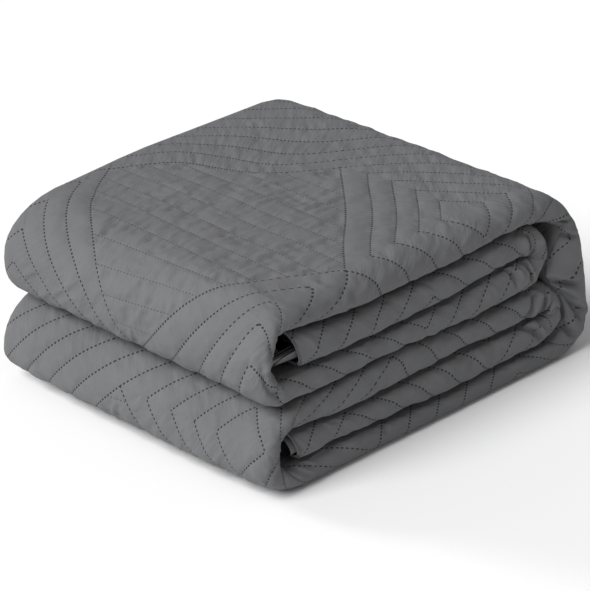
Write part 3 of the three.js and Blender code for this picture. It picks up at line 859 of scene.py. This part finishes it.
def stitch_numbers(u, v, along, across):
    """Distance to the nearest quilting line, length along it and distance from the cell's middle line in
    metres, and 1 for the straight lines, whose holes show less, from a place in the lattice. The rule for
    the cells is the mesh's own."""
    a, b = (along + across) / 2, (along - across) / 2
    row, column = a.round(), b.round()
    da, db = a - row, b - column
    side = CELL_SIDE * MM
    size_a, size_b = da.abs(), db.abs()
    far = size_a.math("MAXIMUM", size_b)
    to_side = 0.5 - far
    sloping = da.to_line(1 / CHANNELS) * side
    nested = to_side.math("MINIMUM", 0.5 - HALF_CHANNEL).to_line(1 / CHANNELS) * side
    later = (1 - u.below(LATER[0] * MM, LATER[1] * MM)) * (CELL_HALF[0] * MM / CHANNELS)
    ahead = u + v * STRAIGHT_LEAN - CELL_ORIGIN[0] * MM - later
    across_lines = ahead.to_line(STRAIGHT_PITCH * MM)
    near_side = (to_side * side).math("LESS_THAN", across_lines)
    straight = across_lines.math("MINIMUM", to_side * side)
    odd = row.math("FLOORED_MODULO", 2).math("GREATER_THAN", 0.5)
    apart = (row - column).math("FLOORED_MODULO", 4)
    is_sloping = odd * apart.math("LESS_THAN", 1.5)
    is_straight = (1 - odd) * apart.math("LESS_THAN", 0.5)
    along_side = size_a.math("GREATER_THAN", size_b).choose(db, da) * side
    in_straight = near_side.choose(along_side, v)
    distance = is_sloping.choose(sloping, is_straight.choose(straight, nested))
    run = is_sloping.choose(db * side, is_straight.choose(in_straight, along_side))
    cross = is_sloping.choose(da * side, is_straight.choose(u, far * side))
    return distance, run, cross, is_straight * (1 - near_side)


def quilted_material(sizes):
    """Matt brushed cloth: a heathered grey, a fine weave and small puckers in the bump, painted shade in the
    needle holes and along the seam grooves, a painted highlight on the holes' pale rims, and a soft sheen."""
    material = bpy.data.materials.new("quilted_cloth")
    material.use_nodes = True
    tree = material.node_tree
    shader = tree.nodes["Principled BSDF"]
    cloth_uv, u, v = uv_numbers(tree, "cloth")
    _, along, across = uv_numbers(tree, "lattice")
    distance, run, cross, faint = stitch_numbers(u, v, along, across)
    along_square = run.to_line(sizes.stitch_pitch).math("POWER", 2) * HOLE_LENGTH
    from_hole = (along_square + distance.math("POWER", 2)).math("SQRT")
    # Needle holes: darkened in the colour as painted shade, and sunk in the bump
    holes_with_painted_shade = from_hole.below(*HOLE) * (1 - faint * FAINT_HOLES)
    # Pale rims round the holes: a painted highlight in the colour
    rim_highlight = from_hole.below(*RIM_HIGHLIGHT) * (1 - holes_with_painted_shade)
    # Seam groove: painted shade in the colour, and a real dip in the bump
    groove = distance.below(*GROOVE)
    cloudy = noise_number(tree, cloth_uv, CLOUD_SCALE, detail=3)
    fibres = noise_number(tree, cloth_uv, FIBRE_SCALE, detail=3, roughness=0.7)
    shade = (cloudy - 0.5) * SHADES["cloudy"] + (fibres - 0.5) * SHADES["fibres"] + 1.0
    # Painted shade in the needle holes and along the seam grooves, and a painted highlight on the holes' rims
    shade = shade - groove * SHADES["groove"] - holes_with_painted_shade * SHADES["holes_with_painted_shade"] + rim_highlight * SHADES["rim_highlight"]
    grey = tree.nodes.new("ShaderNodeCombineColor")
    for channel in range(3):
        tree.links.new(shade.socket, grey.inputs[channel])
    tint = tree.nodes.new("ShaderNodeMix")
    tint.data_type = "RGBA"
    tint.blend_type = "MULTIPLY"
    tint.inputs["Factor"].default_value = 1
    tint.inputs["A"].default_value = (*sizes.cloth_colour, 1)
    tree.links.new(grey.outputs["Color"], tint.inputs["B"])
    tree.links.new(tint.outputs["Result"], shader.inputs["Base Color"])
    turns = 2 * math.pi / WEAVE_PITCH
    weave = (u * turns).math("SINE") * (v * turns).math("SINE")
    pucker_place = tree.nodes.new("ShaderNodeCombineXYZ")
    tree.links.new(run.socket, pucker_place.inputs["X"])
    tree.links.new((cross * PUCKER_STRETCH).socket, pucker_place.inputs["Y"])
    puckers = noise_number(tree, pucker_place.outputs["Vector"], PUCKER_SCALE, detail=2) - 0.5
    puckers = puckers * (distance.below(*PUCKER_BAND) + PUCKERS_BEYOND)
    height = weave * BUMPS["weave"] + fibres * BUMPS["fibres"] + cloudy * BUMPS["cloudy"]
    height = height - holes_with_painted_shade * BUMPS["holes_with_painted_shade"] - groove * BUMPS["groove"] + puckers * BUMPS["puckers"]
    bump = tree.nodes.new("ShaderNodeBump")
    bump.inputs["Strength"].default_value = 0.55
    bump.inputs["Distance"].default_value = 0.0007
    tree.links.new(height.socket, bump.inputs["Height"])
    tree.links.new(bump.outputs["Normal"], shader.inputs["Normal"])
    shader.inputs["Roughness"].default_value = 0.82
    shader.inputs["Specular IOR Level"].default_value = 0.12
    shader.inputs["Sheen Weight"].default_value = 0.05
    shader.inputs["Sheen Roughness"].default_value = 0.5
    shader.inputs["Sheen Tint"].default_value = (0.9, 0.92, 1, 1)
    return material


class BEDSPREAD_OT_cloth(bpy.types.Operator):
    """Folds the quilted cloth and gives it its finish"""
    bl_idname = "bedspread.cloth"
    bl_label = "Fold the bedspread"

    def execute(self, context):
        sizes = context.scene.bedspread
        points, triangles, flat, lattice = fold_cloth(sizes)
        mesh = bpy.data.meshes.new("bedspread_cloth")
        mesh.from_pydata(points, [], triangles)
        mesh.update()
        corners = np.empty(len(mesh.loops), int)
        mesh.loops.foreach_get("vertex_index", corners)
        for name, places in (("cloth", flat), ("lattice", lattice)):
            layer = mesh.uv_layers.new(name=name)
            layer.data.foreach_set("uv", places[corners].astype(np.float32).ravel())
        mesh.polygons.foreach_set("use_smooth", np.ones(len(mesh.polygons), bool))
        piece = bpy.data.objects.new("bedspread_cloth", mesh)
        context.collection.objects.link(piece)
        piece.data.materials.append(quilted_material(sizes))
        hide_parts(NODE)
        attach(piece, "root")
        return {"FINISHED"}


class BEDSPREAD_OT_stage(bpy.types.Operator):
    """Adds the pale floor, the soft lights and the camera at the photograph's angle"""
    bl_idname = "bedspread.stage"
    bl_label = "Set the stage"

    def add_floor(self, context, settings):
        half = FLOOR_HALF
        corners = [(-half, -half, 0), (half, -half, 0), (half, half, 0), (-half, half, 0)]
        mesh = bpy.data.meshes.new("floor")
        mesh.from_pydata(corners, [], [(0, 1, 2, 3)])
        floor = bpy.data.objects.new("floor", mesh)
        context.collection.objects.link(floor)
        paint = bpy.data.materials.new("pale_floor")
        paint.use_nodes = True
        shader = paint.node_tree.nodes["Principled BSDF"]
        shader.inputs["Base Color"].default_value = (*settings.floor_colour, 1)
        shader.inputs["Roughness"].default_value = 0.9
        floor.data.materials.append(paint)

    def add_lights(self, context, settings):
        for name, source, strength, spread in LIGHTS:
            data = bpy.data.lights.new(name, "SUN")
            data.energy, data.angle = getattr(settings, strength), math.radians(spread)
            lamp = bpy.data.objects.new(name, data)
            lamp.rotation_euler = Vector(source).to_track_quat("Z", "Y").to_euler()
            context.collection.objects.link(lamp)
        world = bpy.data.worlds.new("studio")
        world.use_nodes = True
        background = world.node_tree.nodes["Background"]
        background.inputs["Color"].default_value = (1, 1, 1, 1)
        background.inputs["Strength"].default_value = settings.sky_strength
        context.scene.world = world
        context.scene.view_settings.view_transform = "Standard"

    def add_camera(self, context):
        data = bpy.data.cameras.new("camera")
        data.sensor_width, data.lens = SENSOR, LENS
        camera = bpy.data.objects.new("camera", data)
        azimuth, elevation = math.radians(CAMERA["azimuth"]), math.radians(CAMERA["elevation"])
        level = math.cos(elevation)
        back = Vector((math.sin(azimuth) * level, -math.cos(azimuth) * level, math.sin(elevation)))
        camera.location = Vector(CAMERA["aim"]) + back * CAMERA["distance"]
        camera.rotation_euler = back.to_track_quat("Z", "Y").to_euler()
        context.collection.objects.link(camera)
        context.scene.camera = camera

    def execute(self, context):
        settings = context.scene.bedspread
        self.add_floor(context, settings)
        self.add_lights(context, settings)
        self.add_camera(context)
        return {"FINISHED"}


class BEDSPREAD_PT_panel(bpy.types.Panel):
    """Lists the bedspread's operators and settings"""
    bl_idname = "BEDSPREAD_PT_panel"
    bl_label = "Bedspread"
    bl_space_type = "VIEW_3D"
    bl_region_type = "UI"
    bl_category = "Bedspread"

    def draw(self, context):
        for name in BedspreadSettings.__annotations__:
            self.layout.prop(context.scene.bedspread, name)
        for operator in OPERATORS:
            self.layout.operator(operator.bl_idname)


OPERATORS = (BEDSPREAD_OT_stage, BEDSPREAD_OT_cloth)
CLASSES = (BedspreadSettings, *OPERATORS, BEDSPREAD_PT_panel)


def register():
    """Adds the classes and the settings to Blender."""
    for cls in CLASSES:
        bpy.utils.register_class(cls)
    bpy.types.Scene.bedspread = PointerProperty(type=BedspreadSettings)


def unregister():
    """Takes them away again."""
    del bpy.types.Scene.bedspread
    for cls in reversed(CLASSES):
        bpy.utils.unregister_class(cls)


def main():
    """Builds the whole scene."""
    register()
    bpy.ops.bedspread.stage()
    bpy.ops.bedspread.cloth()


if __name__ == "__main__":
    main()
